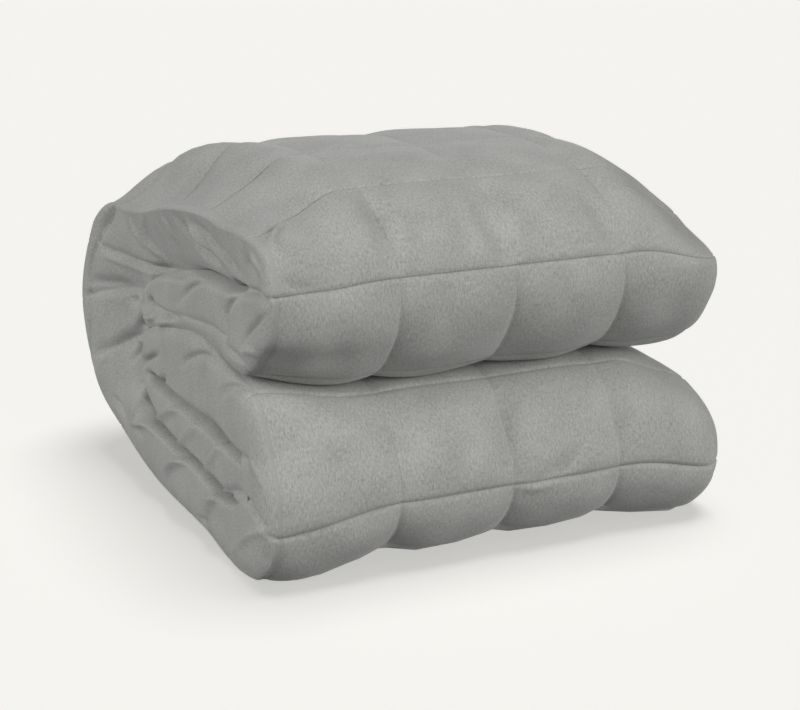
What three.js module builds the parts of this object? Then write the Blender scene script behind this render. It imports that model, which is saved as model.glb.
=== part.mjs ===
// A quilted weighted blanket, folded for storage and lying on a flat surface.
//
// The blanket is first folded in four across its width, which leaves a long soft strip four
// quilting squares wide. The strip is then rolled up in five layers, back and forth, with both of
// its ends inside. Seen from the left end the strip runs: inner end, forward along layer 2, round
// the upper front, back over the top (layer 1), down round the thick spine, forward along the
// bottom (layer 5), round the lower front, back over layer 3, round a small turn, forward along
// layer 4 to its other end. The layers lie a few millimetres apart, so this is one solid.
//
// Millimetres, +X along the front, +Y from the front to the spine, +Z up. The origin is the centre
// of the bounding box's base.
import * as THREE from "three";

const { smoothstep, lerp, clamp } = THREE.MathUtils;

// ---- Driving dimensions --------------------------------------------------------------------------
// Lengths are in quilting squares, which SQUARE turns to millimetres.

const SQUARE = 101.6; // one quilting square, seam to seam
const SQUARES_WIDE = 4; // squares across the folded strip
const TAKE_UP = 0.955; // length of a square along the strip, once puffed, as a share of SQUARE
const FIRST_SEAM = 3.55; // from the inner end to the seam across the upper front

const STEPS_PER_SQUARE = 4; // mesh steps in one square, both ways
const CURVE_DIVISIONS = 2000; // fineness of the measure of length along the strip
const FABRIC_COLOUR = 0x96978f;

// The puff of a square between its seams.
const PUFF = {
  height: 0.075, // rise of its middle above its seams
  flatness: 2.4, // power of the fall from the middle to a seam
  atSeam: 0.25, // share of the height that is left beside a seam across the strip
  alongPower: 0.8, // a power under one fills the square out lengthwise
};

// The two side faces: how far they stand past the outermost seams, the radii of the edges that run
// round them, and how far each square swells out of them between two seams.
const SIDES = {
  left: { overhang: 0.08, upperEdge: 0.14, lowerEdge: 0.1, swell: 0.07 },
  right: { overhang: 0.03, upperEdge: 0.26, lowerEdge: 0.13, swell: 0.06 },
};
const EDGE_SHARES = [0, 0.1, 0.38, 1]; // columns of points on a rounded edge, as shares of its radius
const SIDE_INSETS = [0.93, 0.5]; // rows of points on a side face, as shares of half its thickness
const HIDDEN_EDGE = 0.1; // radius of an edge pressed against another layer
const EDGE_DEPTH = 0.72; // most of half a layer's thickness that a rounded edge takes up
const END_FADE = 0.4; // length over which the side faces flatten towards the strip's two ends
const SWELL_AT_SEAM = 0.3; // share of the side faces' swell that is left at a seam
const SPINE_GATHER = 0.6; // share by which the spine's side face evens out between its seams
const SPINE_HOLLOW = { depth: 0.14, from: 0.5, to: 1.4 }; // its side drawn in beside the inner layers

// The path of the strip at mid-width. Each fold gives a point on the outer face of the strip and
// the point across from it on the inner face, both as [y, z], and how much of the puff shows
// there: a face pressed against another layer is nearly flat.
const FOLDS = [
  { at: "inner end", outer: [3.5, 1.47], inner: [3.57, 1.775], puff: 0.1 },
  { at: "layer 2, back", outer: [3.0, 1.505], inner: [3.08, 1.935], puff: 0.1 },
  { at: "layer 2, middle", outer: [2.3, 1.535], inner: [2.3, 2.17], puff: 0.1 },
  { at: "layer 2, front", outer: [1.6, 1.53], inner: [1.65, 2.25], puff: 0.2 },
  { at: "upper front, underside", outer: [1.06, 1.5], inner: [1.3, 2.275], puff: 0.8 },
  { at: "upper front, lower", outer: [0.67, 1.75], inner: [1.16, 2.285], puff: 1 },
  { at: "upper front, nose", outer: [0.53, 2.18], inner: [1.12, 2.3], puff: 1 },
  { at: "upper front, brow", outer: [0.64, 2.54], inner: [1.16, 2.315], puff: 1 },
  { at: "upper front, top", outer: [1.02, 2.84], inner: [1.3, 2.31], puff: 1 },
  { at: "layer 1, front", outer: [1.6, 3.01], inner: [1.65, 2.285], puff: 0.8 },
  { at: "layer 1, middle", outer: [2.35, 3.07], inner: [2.3, 2.205], puff: 0.7 },
  { at: "layer 1, back", outer: [3.15, 3.03], inner: [3.08, 1.97], puff: 0.7 },
  { at: "spine, shoulder", outer: [4.02, 2.8], inner: [3.62, 1.835], puff: 0.8 },
  { at: "spine, upper", outer: [4.82, 2.32], inner: [3.66, 1.64], puff: 1 },
  { at: "spine, middle", outer: [5.32, 1.42], inner: [3.68, 1.36], puff: 1 },
  { at: "spine, lower", outer: [4.98, 0.62], inner: [3.67, 1.06], puff: 1 },
  { at: "layer 5, back", outer: [4.18, 0.2], inner: [3.52, 0.82], puff: 1 },
  { at: "layer 5, middle", outer: [3.2, 0.08], inner: [3.1, 0.66], puff: 1 },
  { at: "layer 5, inside", outer: [2.25, 0.06], inner: [2.25, 0.61], puff: 1 },
  { at: "layer 5, front", outer: [1.45, 0.06], inner: [1.5, 0.6], puff: 1 },
  { at: "lower front, underside", outer: [0.9, 0.12], inner: [1.17, 0.63], puff: 1 },
  { at: "lower front, lower", outer: [0.57, 0.44], inner: [1.09, 0.7], puff: 1 },
  { at: "lower front, nose", outer: [0.53, 0.76], inner: [1.07, 0.78], puff: 1 },
  { at: "lower front, brow", outer: [0.68, 1.01], inner: [1.1, 0.86], puff: 1 },
  { at: "lower front, top", outer: [1.0, 1.25], inner: [1.2, 0.93], puff: 0.8 },
  { at: "layer 3, front", outer: [1.5, 1.425], inner: [1.55, 0.975], puff: 0.3 },
  { at: "layer 3, middle", outer: [2.28, 1.485], inner: [2.25, 1.0], puff: 0.1 },
  { at: "layer 3, back", outer: [2.98, 1.45], inner: [2.9, 1.04], puff: 0.1 },
  { at: "small turn, top", outer: [3.42, 1.33], inner: [3.2, 1.085], puff: 0.1 },
  { at: "small turn, nose", outer: [3.58, 1.13], inner: [3.25, 1.055], puff: 0.1 },
  { at: "small turn, underside", outer: [3.38, 0.88], inner: [3.2, 1.03], puff: 0.1 },
  { at: "layer 4, back", outer: [2.9, 0.69], inner: [2.9, 1.0], puff: 0.1 },
  { at: "layer 4, middle", outer: [2.2, 0.645], inner: [2.2, 0.97], puff: 0.1 },
  { at: "outer end", outer: [1.35, 0.635], inner: [1.38, 0.94], puff: 0.1 },
];

// How the two ends of the roll sag. What is above the level sinks towards it by the shares given
// for the front corner, the top behind it and the shoulder of the spine.
const SAG = {
  level: 2.2,
  left: { frontCorner: 0.16, top: 0.48, shoulder: 0.26, reach: 0.8, reachAtSpine: 0.65, toe: 0.1 },
  right: { frontCorner: 0.72, top: 0.37, reach: 0.9, toe: 0.07, lowerRoll: 0.14, cornerPull: 0.05 },
  spinePull: 0.13, // forward shift of the spine at its left end
  seatLift: 0.12, // rise, at the left end, of the front of the face between the two rolls
};

// Where one sag passes into the next: the start and end of each passage, along the axis named.
const PASSAGES = {
  leftReachY: [2.6, 4], // from the reach along the layers to the reach at the spine
  leftCornerY: [0.75, 1.5], // from the left front corner to the top behind it
  leftShoulderY: [3.5, 4.5], // from the top to the shoulder of the spine
  rightCornerY: [0.5, 2.1], // from the right front corner to the top behind it
  seatFrontY: [1.7, 2.6], // the seat's lift fades behind the front
  seatZ: [0.2, 0.55], // and above and below the seat's own height
  lowerRollY: [2.2, 3.6], // the lower roll's sag fades towards the spine
  toeY: [1.2, 2], // the toe is the front of the bottom layer
  toeZ: [0.3, 0.9],
  cornerPullY: [0.6, 1.5], // the right upper corner's rounding fades backwards
  cornerPullZ: [1.5, 1.9],
  spineY: [4.2, 5.4],
};
const SEAT_HEIGHT = 1.48; // height of the face between the two rolls

// ---- The strip's section at mid-width ------------------------------------------------------------

/** How far a value has passed through a passage, 0 before it and 1 after it, smoothly. */
const passed = (value, [start, end]) => smoothstep(value, start, end);

/** A smooth open curve in the YZ plane through one face of the strip. */
function faceCurve(face) {
  const points = FOLDS.map((fold) => new THREE.Vector3(0, ...fold[face]));
  const curve = new THREE.CatmullRomCurve3(points, false, "centripetal");
  curve.arcLengthDivisions = CURVE_DIVISIONS;
  return curve;
}

const SPINE_MIDDLE = FOLDS.findIndex((fold) => fold.at === "spine, middle");
const SPINE_FOLDS = [1, 3]; // the spine's shapes fade between these counts of folds from its middle
const outerFace = faceCurve("outer");
const innerFace = faceCurve("inner");
const outerLength = outerFace.getLength();

/** The share of the puff that shows at a place counted in folds, between the two nearest. */
function puffShare(place) {
  const before = Math.min(Math.floor(place), FOLDS.length - 2);
  return lerp(FOLDS[before].puff, FOLDS[before + 1].puff, place - before);
}

/** Distances along the outer face at which the strip gets a row of points: its two ends, every
 * seam, and the steps between seams. */
function stationDistances() {
  const step = TAKE_UP / STEPS_PER_SQUARE;
  const first = Math.ceil((step / 2 - FIRST_SEAM) / step);
  const last = Math.floor((outerLength - step / 2 - FIRST_SEAM) / step);
  const between = Array.from({ length: last - first + 1 }, (_, k) => FIRST_SEAM + (first + k) * step);
  return [0, ...between, outerLength];
}

/** Everything that the strip's section gives at one distance along the outer face. */
function stationAt(distance) {
  const t = outerFace.getUtoTmapping(distance / outerLength);
  const place = t * (FOLDS.length - 1);
  const outer = outerFace.getPoint(t);
  const inner = innerFace.getPoint(t);
  const across = outer.clone().sub(inner);
  const thickness = across.length();
  const tangent = outerFace.getTangent(t);
  return {
    outer,
    inner,
    across: across.normalize(),
    thickness,
    outwards: new THREE.Vector3(0, -tangent.z, tangent.y),
    puffShare: puffShare(place),
    squaresAlong: (distance - FIRST_SEAM) / TAKE_UP,
    endShare: smoothstep(Math.min(distance, outerLength - distance), 0, END_FADE),
    spineShare: 1 - passed(Math.abs(place - SPINE_MIDDLE), SPINE_FOLDS),
    onLowerRoll: place > SPINE_MIDDLE,
  };
}

// ---- Across the width ----------------------------------------------------------------------------

/** The columns of points across the width. Each has its place in squares from the left seam, the
 * side that it belongs to, and its inset: 0 on the faces, more on a side face. */
function columnPlaces() {
  const { left, right } = SIDES;
  const leftEdge = -left.overhang;
  const rightEdge = SQUARES_WIDE + right.overhang;
  const column = (x, side, inset = 0) => ({ x, side, inset });
  const onLeft = EDGE_SHARES.map((share) => column(leftEdge + share * left.upperEdge, left));
  const onRight = EDGE_SHARES.map((share) => column(rightEdge - share * right.upperEdge, right));

  const step = 1 / STEPS_PER_SQUARE;
  const steps = Array.from({ length: SQUARES_WIDE * STEPS_PER_SQUARE - 1 }, (_, k) => (k + 1) * step);
  const between = steps
    .filter((x) => x > onLeft.at(-1).x + step / 4 && x < onRight.at(-1).x - step / 4)
    .map((x) => column(x, x < SQUARES_WIDE / 2 ? left : right));
  return [
    ...SIDE_INSETS.map((inset) => column(leftEdge, left, inset)),
    ...onLeft,
    ...between,
    ...onRight.reverse(),
    ...SIDE_INSETS.map((inset) => column(rightEdge, right, inset)).reverse(),
  ];
}

/** Height of a puffed square, 0 on its seams and 1 over its middle. */
const crown = (place) => 1 - Math.abs(2 * (place - Math.floor(place)) - 1) ** PUFF.flatness;

/** How far an edge of the given radius has turned in at a distance from the side face, 1 at it. */
function edgeTurn(distance, radius) {
  const share = clamp(distance / radius, 0, 1);
  return 1 - Math.sqrt(1 - (1 - share) ** 2);
}

/** Lets the two ends of the roll sag: p is a point in squares, moved in place. */
function sagEnds(p, onLowerRoll) {
  const { level, left, right, seatLift, spinePull } = SAG;
  const reach = lerp(left.reach, left.reachAtSpine, passed(p.y, PASSAGES.leftReachY));
  const leftShare = 1 - smoothstep(p.x, -SIDES.left.overhang / 2, reach);
  const rightShare = smoothstep(p.x, SQUARES_WIDE + SIDES.right.overhang - right.reach, SQUARES_WIDE);
  if (p.z > level) {
    const behindCorner = lerp(left.frontCorner, left.top, passed(p.y, PASSAGES.leftCornerY));
    const leftTop = lerp(behindCorner, left.shoulder, passed(p.y, PASSAGES.leftShoulderY));
    const rightTop = lerp(right.frontCorner, right.top, passed(p.y, PASSAGES.rightCornerY));
    p.z = level + (p.z - level) * (1 - leftShare * leftTop) * (1 - rightShare * rightTop);
  }
  const atSeat = 1 - passed(Math.abs(p.z - SEAT_HEIGHT), PASSAGES.seatZ);
  p.z += seatLift * leftShare * atSeat * (1 - passed(p.y, PASSAGES.seatFrontY));
  if (onLowerRoll) p.z *= 1 - right.lowerRoll * rightShare * (1 - passed(p.y, PASSAGES.lowerRollY));

  const atToe = (1 - passed(p.y, PASSAGES.toeY)) * (1 - passed(p.z, PASSAGES.toeZ));
  const toe = left.toe * (1 - smoothstep(p.x, 0, 1)) + right.toe * rightShare;
  p.z = Math.max(p.z - toe * atToe, 0); // the underside lies flat on the surface

  const atCorner = passed(p.z, PASSAGES.cornerPullZ) * (1 - passed(p.y, PASSAGES.cornerPullY));
  p.x -= right.cornerPull * rightShare * atCorner;
  p.y -= spinePull * leftShare * passed(p.y, PASSAGES.spineY);
  return p;
}

/** The outer and inner points of the strip at a station and a column across the width. */
function stripPoints(station, { x, side, inset }) {
  const outwards = side === SIDES.left ? -1 : 1;
  const fromSide = side === SIDES.left ? x + side.overhang : SQUARES_WIDE + side.overhang - x;
  const half = station.thickness / 2;
  const openEdge = station.onLowerRoll ? side.lowerEdge : side.upperEdge;
  const cutBy = (radius) => {
    const cut = edgeTurn(fromSide, radius) * Math.min(radius, EDGE_DEPTH * half);
    return lerp(cut, half, inset);
  };
  const outerCut = cutBy(lerp(HIDDEN_EDGE, openEdge, station.puffShare));
  const innerCut = cutBy(HIDDEN_EDGE);

  const alongStrip = crown(station.squaresAlong);
  const shown = lerp(PUFF.atSeam, 1, alongStrip ** PUFF.alongPower);
  const puff = PUFF.height * station.puffShare * crown(clamp(x, 0, SQUARES_WIDE)) * shown;
  const outer = station.outer
    .clone()
    .addScaledVector(station.outwards, inset ? 0 : puff)
    .addScaledVector(station.across, -outerCut);
  const inner = station.inner.clone().addScaledVector(station.across, innerCut);

  const betweenSeams = lerp(SWELL_AT_SEAM, 1, alongStrip);
  const gathered = lerp(betweenSeams, 1, SPINE_GATHER * station.spineShare);
  const swell = side.swell * (1 - (1 - inset) ** 2) * gathered * station.endShare;
  const onSide = inset > 0 || fromSide === 0;
  return [outer, inner].map((p) => {
    const { depth, from, to } = SPINE_HOLLOW;
    const inwards = smoothstep(p.distanceTo(station.outer), from, to);
    const hollow = onSide ? depth * station.spineShare * inwards : 0;
    return sagEnds(p.setX(x + outwards * (swell - hollow)), station.onLowerRoll);
  });
}

// ---- The solid -----------------------------------------------------------------------------------

/** The closed surface: outer face, inner face and the two side faces, stitched point to point. */
function blanketGeometry() {
  const columns = columnPlaces();
  const stations = stationDistances().map(stationAt);
  const grid = stations.map((station) => columns.map((column) => stripPoints(station, column)));
  const outerRows = grid.map((row) => row.map(([outer]) => outer));
  const innerRows = grid.map((row) => row.map(([, inner]) => inner));
  const around = [...outerRows, ...innerRows.reverse()];

  const index = [];
  const quad = (a, b, c, d) => index.push(a, b, c, a, c, d);
  const at = (row, column) => (row % around.length) * columns.length + column;
  const last = columns.length - 1;
  const across = (row) => around.length - 1 - row;

  for (let row = 0; row < around.length; row += 1)
    for (let column = 0; column < last; column += 1)
      quad(at(row, column), at(row, column + 1), at(row + 1, column + 1), at(row + 1, column));
  for (let row = 0; row < stations.length - 1; row += 1) {
    quad(at(row, 0), at(row + 1, 0), at(across(row + 1), 0), at(across(row), 0));
    quad(at(row, last), at(across(row), last), at(across(row + 1), last), at(row + 1, last));
  }

  const positions = around.flat().flatMap((p) => p.multiplyScalar(SQUARE).toArray());
  const geometry = new THREE.BufferGeometry();
  geometry.setAttribute("position", new THREE.Float32BufferAttribute(positions, 3));
  geometry.setIndex(index);
  geometry.computeBoundingBox();
  const { min, max } = geometry.boundingBox;
  geometry.translate(-(min.x + max.x) / 2, -(min.y + max.y) / 2, -min.z);
  geometry.computeVertexNormals();
  return geometry;
}

const fabric = new THREE.MeshStandardMaterial({ color: FABRIC_COLOUR, roughness: 0.95, metalness: 0 });
const blanket = new THREE.Mesh(blanketGeometry(), fabric);
blanket.name = "quilted_blanket";

const part = new THREE.Group();
part.add(blanket);

export default part;
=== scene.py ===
"""A quilted weighted blanket, folded in four, rolled up and lying on a table.

The blanket is one long soft strip, four quilting squares wide, that runs back and forth in five
layers. Its surface is a closed tube of points: rows follow the strip from one hidden end to the
other, and each row's ring goes over the outer face, round the right side, back along the inner
face and round the left side. Lengths are in quilting squares until the mesh is written.
"""

import logging
import math
from dataclasses import dataclass, field
from enum import Enum
from typing import NamedTuple, Sequence

import bpy
import numpy as np
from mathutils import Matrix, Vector


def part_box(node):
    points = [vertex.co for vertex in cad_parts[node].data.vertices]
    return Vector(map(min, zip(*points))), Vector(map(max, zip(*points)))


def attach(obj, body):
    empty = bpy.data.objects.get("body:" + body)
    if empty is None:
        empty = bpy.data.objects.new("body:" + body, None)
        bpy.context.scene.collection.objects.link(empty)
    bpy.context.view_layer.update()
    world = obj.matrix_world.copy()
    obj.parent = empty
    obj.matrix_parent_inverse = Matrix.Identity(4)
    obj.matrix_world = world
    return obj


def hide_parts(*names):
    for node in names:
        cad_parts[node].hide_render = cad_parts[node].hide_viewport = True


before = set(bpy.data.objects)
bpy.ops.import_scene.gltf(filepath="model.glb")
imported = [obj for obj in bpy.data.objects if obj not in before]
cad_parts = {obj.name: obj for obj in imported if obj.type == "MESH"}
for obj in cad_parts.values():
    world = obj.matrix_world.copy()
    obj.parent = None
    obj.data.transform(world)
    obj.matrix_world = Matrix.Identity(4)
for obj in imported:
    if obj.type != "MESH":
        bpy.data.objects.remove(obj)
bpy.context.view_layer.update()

LOG = logging.getLogger("weighted_blanket")
SQUARE = 0.1016  # metres in one quilting square, seam to seam
MM = 0.001 / SQUARE  # squares in a millimetre
SQUARES_WIDE = 4
Span = tuple[float, float]  # where something starts, and where it is whole


# ---- Small tools ---------------------------------------------------------------------------------


def passed(value: np.ndarray, start: float, end: float) -> np.ndarray:
    """How far a value has gone from start to end, 0 to 1, eased at both ends."""
    share = np.clip((value - start) / (end - start), 0.0, 1.0)
    return share * share * (3.0 - 2.0 * share)


def mix(low: np.ndarray, high: np.ndarray, share: np.ndarray) -> np.ndarray:
    """The value that lies the given share of the way from low to high."""
    return low + (high - low) * share


def unit(vectors: np.ndarray) -> np.ndarray:
    """The vectors of the last axis at length one."""
    return vectors / np.maximum(np.linalg.norm(vectors, axis=-1, keepdims=True), 1e-12)


def linear_rgba(hex_colour: str) -> tuple[float, float, float, float]:
    """Turns an sRGB colour to linear.

    Args:
        hex_colour: six hex digits, such as "96978f".

    Returns:
        Linear red, green, blue and an alpha of 1.
    """
    shares = [int(hex_colour[k : k + 2], 16) / 255.0 for k in (0, 2, 4)]
    linear = [c / 12.92 if c <= 0.04045 else ((c + 0.055) / 1.055) ** 2.4 for c in shares]
    return (*linear, 1.0)


def random_waves(
    points: np.ndarray, shortest: float, longest: float, seed: int, count: int = 28
) -> np.ndarray:
    """A smooth uneven field, about -1 to 1: a sum of cosine waves in random directions.

    Args:
        points: places, with their coordinates on the last axis.
        shortest: the shortest wavelength, in the unit of the points.
        longest: the longest wavelength.
        seed: seed of the random draw.
        count: number of waves.

    Returns:
        One value for each point.
    """
    draw = np.random.default_rng(seed)
    directions = unit(draw.normal(size=(count, points.shape[-1])))
    lengths = np.exp(draw.uniform(math.log(shortest), math.log(longest), count))
    phases = draw.uniform(0.0, 2.0 * math.pi, count)
    total = np.zeros(points.shape[:-1])
    for direction, length, phase in zip(directions, lengths, phases):
        total += np.cos(points @ direction * (2.0 * math.pi / length) + phase)
    return total / math.sqrt(count)


def mesh_object(name: str, points: np.ndarray, faces: Sequence[Sequence[int]]) -> bpy.types.Object:
    """Makes a smooth-shaded mesh object at the origin, in the scene's collection.

    Args:
        name: name of the object and its mesh.
        points: x, y, z in metres, one row for each point.
        faces: the points of each face, counter-clockwise from outside.

    Returns:
        The object.
    """
    mesh = bpy.data.meshes.new(name)
    mesh.from_pydata(points.tolist(), [], faces)
    mesh.polygons.foreach_set("use_smooth", np.ones(len(mesh.polygons), dtype=bool))
    mesh.update()
    made = bpy.data.objects.new(name, mesh)
    bpy.context.scene.collection.objects.link(made)
    return made


# ---- The path of the strip -----------------------------------------------------------------------


class Fold(NamedTuple):
    """One place on the strip's path at mid-width, as [y, z] in squares on its two faces."""

    at: str
    outer: tuple[float, float]
    inner: tuple[float, float]
    puff: float  # how full the squares are there, 1 for a face that hangs free


FOLDS = (
    Fold("inner end", (3.5, 1.47), (3.57, 1.775), 0.1),
    Fold("layer 2, back", (3.0, 1.505), (3.08, 1.935), 0.1),
    Fold("layer 2, middle", (2.3, 1.535), (2.3, 2.17), 0.1),
    Fold("layer 2, front", (1.6, 1.53), (1.65, 2.25), 0.3),
    Fold("upper front, underside", (1.06, 1.5), (1.3, 2.275), 1.0),
    Fold("upper front, lower", (0.73, 1.74), (1.16, 2.285), 1.15),
    Fold("upper front, nose", (0.53, 2.18), (1.12, 2.3), 0.75),
    Fold("upper front, brow", (0.64, 2.54), (1.16, 2.315), 0.6),
    Fold("upper front, top", (1.02, 2.84), (1.3, 2.31), 0.6),
    Fold("layer 1, front", (1.6, 3.01), (1.65, 2.285), 0.65),
    Fold("layer 1, middle", (2.35, 3.07), (2.3, 2.205), 0.65),
    Fold("layer 1, back", (3.15, 3.03), (3.08, 1.97), 0.65),
    Fold("spine, shoulder", (4.02, 2.8), (3.62, 1.835), 0.8),
    Fold("spine, upper", (4.82, 2.32), (3.66, 1.64), 0.9),
    Fold("spine, middle", (5.32, 1.42), (3.68, 1.36), 0.9),
    Fold("spine, lower", (4.98, 0.62), (3.67, 1.06), 1.0),
    Fold("layer 5, back", (4.18, 0.2), (3.52, 0.82), 1.0),
    Fold("layer 5, middle", (3.2, 0.08), (3.1, 0.66), 1.0),
    Fold("layer 5, inside", (2.25, 0.06), (2.25, 0.61), 1.0),
    Fold("layer 5, front", (1.45, 0.06), (1.5, 0.6), 1.0),
    Fold("lower front, underside", (0.9, 0.12), (1.17, 0.63), 1.1),
    Fold("lower front, lower", (0.57, 0.44), (1.09, 0.7), 1.1),
    Fold("lower front, nose", (0.53, 0.76), (1.07, 0.78), 0.75),
    Fold("lower front, brow", (0.66, 1.04), (1.1, 0.86), 0.6),
    Fold("lower front, top", (0.96, 1.34), (1.2, 0.93), 0.6),
    Fold("layer 3, front", (1.5, 1.45), (1.55, 0.975), 0.3),
    Fold("layer 3, middle", (2.28, 1.485), (2.25, 1.0), 0.1),
    Fold("layer 3, back", (2.98, 1.45), (2.9, 1.04), 0.1),
    Fold("small turn, top", (3.42, 1.33), (3.2, 1.085), 0.1),
    Fold("small turn, nose", (3.58, 1.13), (3.25, 1.055), 0.1),
    Fold("small turn, underside", (3.38, 0.88), (3.2, 1.03), 0.1),
    Fold("layer 4, back", (2.9, 0.69), (2.9, 1.0), 0.1),
    Fold("layer 4, middle", (2.2, 0.645), (2.2, 0.97), 0.1),
    Fold("outer end", (1.35, 0.635), (1.38, 0.94), 0.1),
)
FOLD_NAMES = [fold.at for fold in FOLDS]
SPINE_MIDDLE = FOLD_NAMES.index("spine, middle")


class LeftFold(NamedTuple):
    """Where a fold lies at the left end, if the layers are pressed together there."""

    at: str
    outer: tuple[float, float]
    inner: tuple[float, float]


LEFT_FOLDS = (
    LeftFold("inner end", (3.36, 1.46), (3.3, 1.9)),
    LeftFold("layer 2, back", (2.9, 1.56), (2.92, 2.05)),
    LeftFold("layer 2, middle", (2.3, 1.65), (2.3, 2.18)),
    LeftFold("layer 2, front", (1.6, 1.54), (1.65, 2.255)),
    LeftFold("upper front, brow", (0.6, 2.67), (1.16, 2.315)),
    LeftFold("upper front, top", (0.92, 2.88), (1.3, 2.31)),
    LeftFold("layer 1, front", (1.6, 3.27), (1.65, 2.285)),
    LeftFold("layer 1, middle", (2.35, 3.2), (2.3, 2.17)),
    LeftFold("layer 1, back", (3.15, 2.9), (2.97, 1.99)),
    LeftFold("spine, shoulder", (4.06, 2.62), (3.12, 1.97)),
    LeftFold("spine, upper", (4.78, 2.16), (3.36, 1.72)),
    LeftFold("spine, middle", (5.23, 1.42), (3.36, 1.4)),
    LeftFold("spine, lower", (4.86, 0.7), (3.4, 1.04)),
    LeftFold("layer 5, back", (4.05, 0.36), (3.42, 0.82)),
    LeftFold("layer 5, middle", (3.2, 0.15), (3.1, 0.68)),
    LeftFold("layer 5, inside", (2.25, 0.08), (2.25, 0.615)),
    LeftFold("layer 5, front", (1.45, 0.06), (1.5, 0.56)),
    LeftFold("layer 3, front", (1.5, 1.5), (1.55, 1.02)),
    LeftFold("layer 3, middle", (2.28, 1.67), (2.25, 1.04)),
    LeftFold("layer 3, back", (2.95, 1.6), (2.9, 1.075)),
    LeftFold("small turn, top", (3.38, 1.44), (3.2, 1.1)),
    LeftFold("small turn, nose", (3.5, 1.13), (3.25, 1.07)),
    LeftFold("small turn, underside", (3.34, 0.88), (3.2, 1.045)),
    LeftFold("layer 4, back", (2.9, 0.7), (2.9, 1.03)),
    LeftFold("layer 4, middle", (2.2, 0.635), (2.2, 1.01)),
    LeftFold("outer end", (1.05, 0.575), (1.1, 0.92)),
)


class LeftSide(NamedTuple):
    """The form of the strip's left side at one fold, in squares."""

    at: str
    inset: float  # how far the outermost seam lies inwards
    reach: float  # how far the side stands past the seam
    outer_round: float  # depth that the rounding takes under the outer face
    inner_round: float  # and over the inner face
    lean: float  # how much farther inwards the inner face ends than the outer one


LEFT_SIDES = (
    LeftSide("inner end", 0.02, 0.07, 0.12, 0.10, 0.0),
    LeftSide("layer 2, back", 0.02, 0.09, 0.14, 0.10, 0.0),
    LeftSide("layer 2, middle", 0.02, 0.10, 0.16, 0.10, 0.0),
    LeftSide("layer 2, front", 0.0, 0.12, 0.20, 0.10, 0.0),
    LeftSide("upper front, underside", 0.0, 0.12, 0.22, 0.10, 0.0),
    LeftSide("upper front, lower", 0.0, 0.10, 0.16, 0.10, 0.0),
    LeftSide("upper front, nose", 0.0, 0.09, 0.14, 0.10, 0.0),
    LeftSide("upper front, brow", 0.0, 0.07, 0.08, 0.08, 0.03),
    LeftSide("layer 1, front", 0.0, 0.12, 0.06, 0.22, 0.12),
    LeftSide("layer 1, middle", 0.0, 0.16, 0.06, 0.28, 0.2),
    LeftSide("layer 1, back", 0.0, 0.14, 0.07, 0.26, 0.18),
    LeftSide("spine, shoulder", 0.0, 0.09, 0.12, 0.08, 0.0),
    LeftSide("spine, middle", 0.0, 0.12, 0.30, 0.10, 0.0),
    LeftSide("layer 5, back", 0.0, 0.13, 0.34, 0.08, 0.0),
    LeftSide("layer 5, middle", 0.0, 0.13, 0.34, 0.05, 0.0),
    LeftSide("lower front, underside", 0.0, 0.13, 0.34, 0.05, 0.0),
    LeftSide("lower front, nose", 0.0, 0.12, 0.24, 0.10, 0.0),
    LeftSide("layer 3, front", 0.0, 0.10, 0.16, 0.08, 0.0),
    LeftSide("layer 3, back", 0.02, 0.10, 0.16, 0.08, 0.0),
    LeftSide("small turn, nose", 0.02, 0.1, 0.14, 0.06, 0.0),
    LeftSide("layer 4, back", 0.02, 0.11, 0.1, 0.06, 0.0),
    LeftSide("outer end", 0.02, 0.12, 0.08, 0.06, 0.0),
)


class SeamLag(NamedTuple):
    """How far a seam across the strip has slid along it at the left end, in squares."""

    line: int
    lag: float


SEAM_LAGS = (
    SeamLag(1, -0.08),
    SeamLag(2, -0.4),
    SeamLag(3, -0.48),
    SeamLag(4, -0.66),
    SeamLag(5, -0.34),
    SeamLag(6, 0.2),
    SeamLag(7, 0.03),
    SeamLag(8, -0.2),
    SeamLag(9, -0.2),
    SeamLag(10, -0.2),
    SeamLag(11, -0.15),
    SeamLag(12, -0.25),
    SeamLag(13, -0.08),
    SeamLag(14, 0.0),
)


def through_folds(points: np.ndarray, places: np.ndarray) -> np.ndarray:
    """A smooth curve through the folds, at places counted in folds.

    Between two folds it is the cubic whose end slopes come from the four nearest folds, weighted
    by the square roots of the distances between them (a centripetal Catmull-Rom curve).

    Args:
        points: the folds, one row for each.
        places: places along the curve, 0 at the first fold and 1 at the second.

    Returns:
        The curve's points, one row for each place.
    """
    ends = np.vstack([2 * points[0] - points[1], points, 2 * points[-1] - points[-2]])
    span = np.clip(np.floor(places).astype(int), 0, len(points) - 2)
    share = (places - span)[:, None]
    before, start, stop, after = (ends[span + k] for k in range(4))
    gap_0, gap_1, gap_2 = (
        np.sqrt(np.linalg.norm(b - a, axis=1))[:, None]
        for a, b in ((before, start), (start, stop), (stop, after))
    )
    slope = (stop - start) / gap_1
    leave = slope + (start - before) / gap_0 - (stop - before) / (gap_0 + gap_1)
    arrive = slope + (after - stop) / gap_2 - (after - start) / (gap_1 + gap_2)
    leave, arrive = leave * gap_1, arrive * gap_1
    square, cube = share**2, share**3
    return (
        start * (2 * cube - 3 * square + 1)
        + stop * (3 * square - 2 * cube)
        + leave * (cube - 2 * square + share)
        + arrive * (cube - square)
    )


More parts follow.
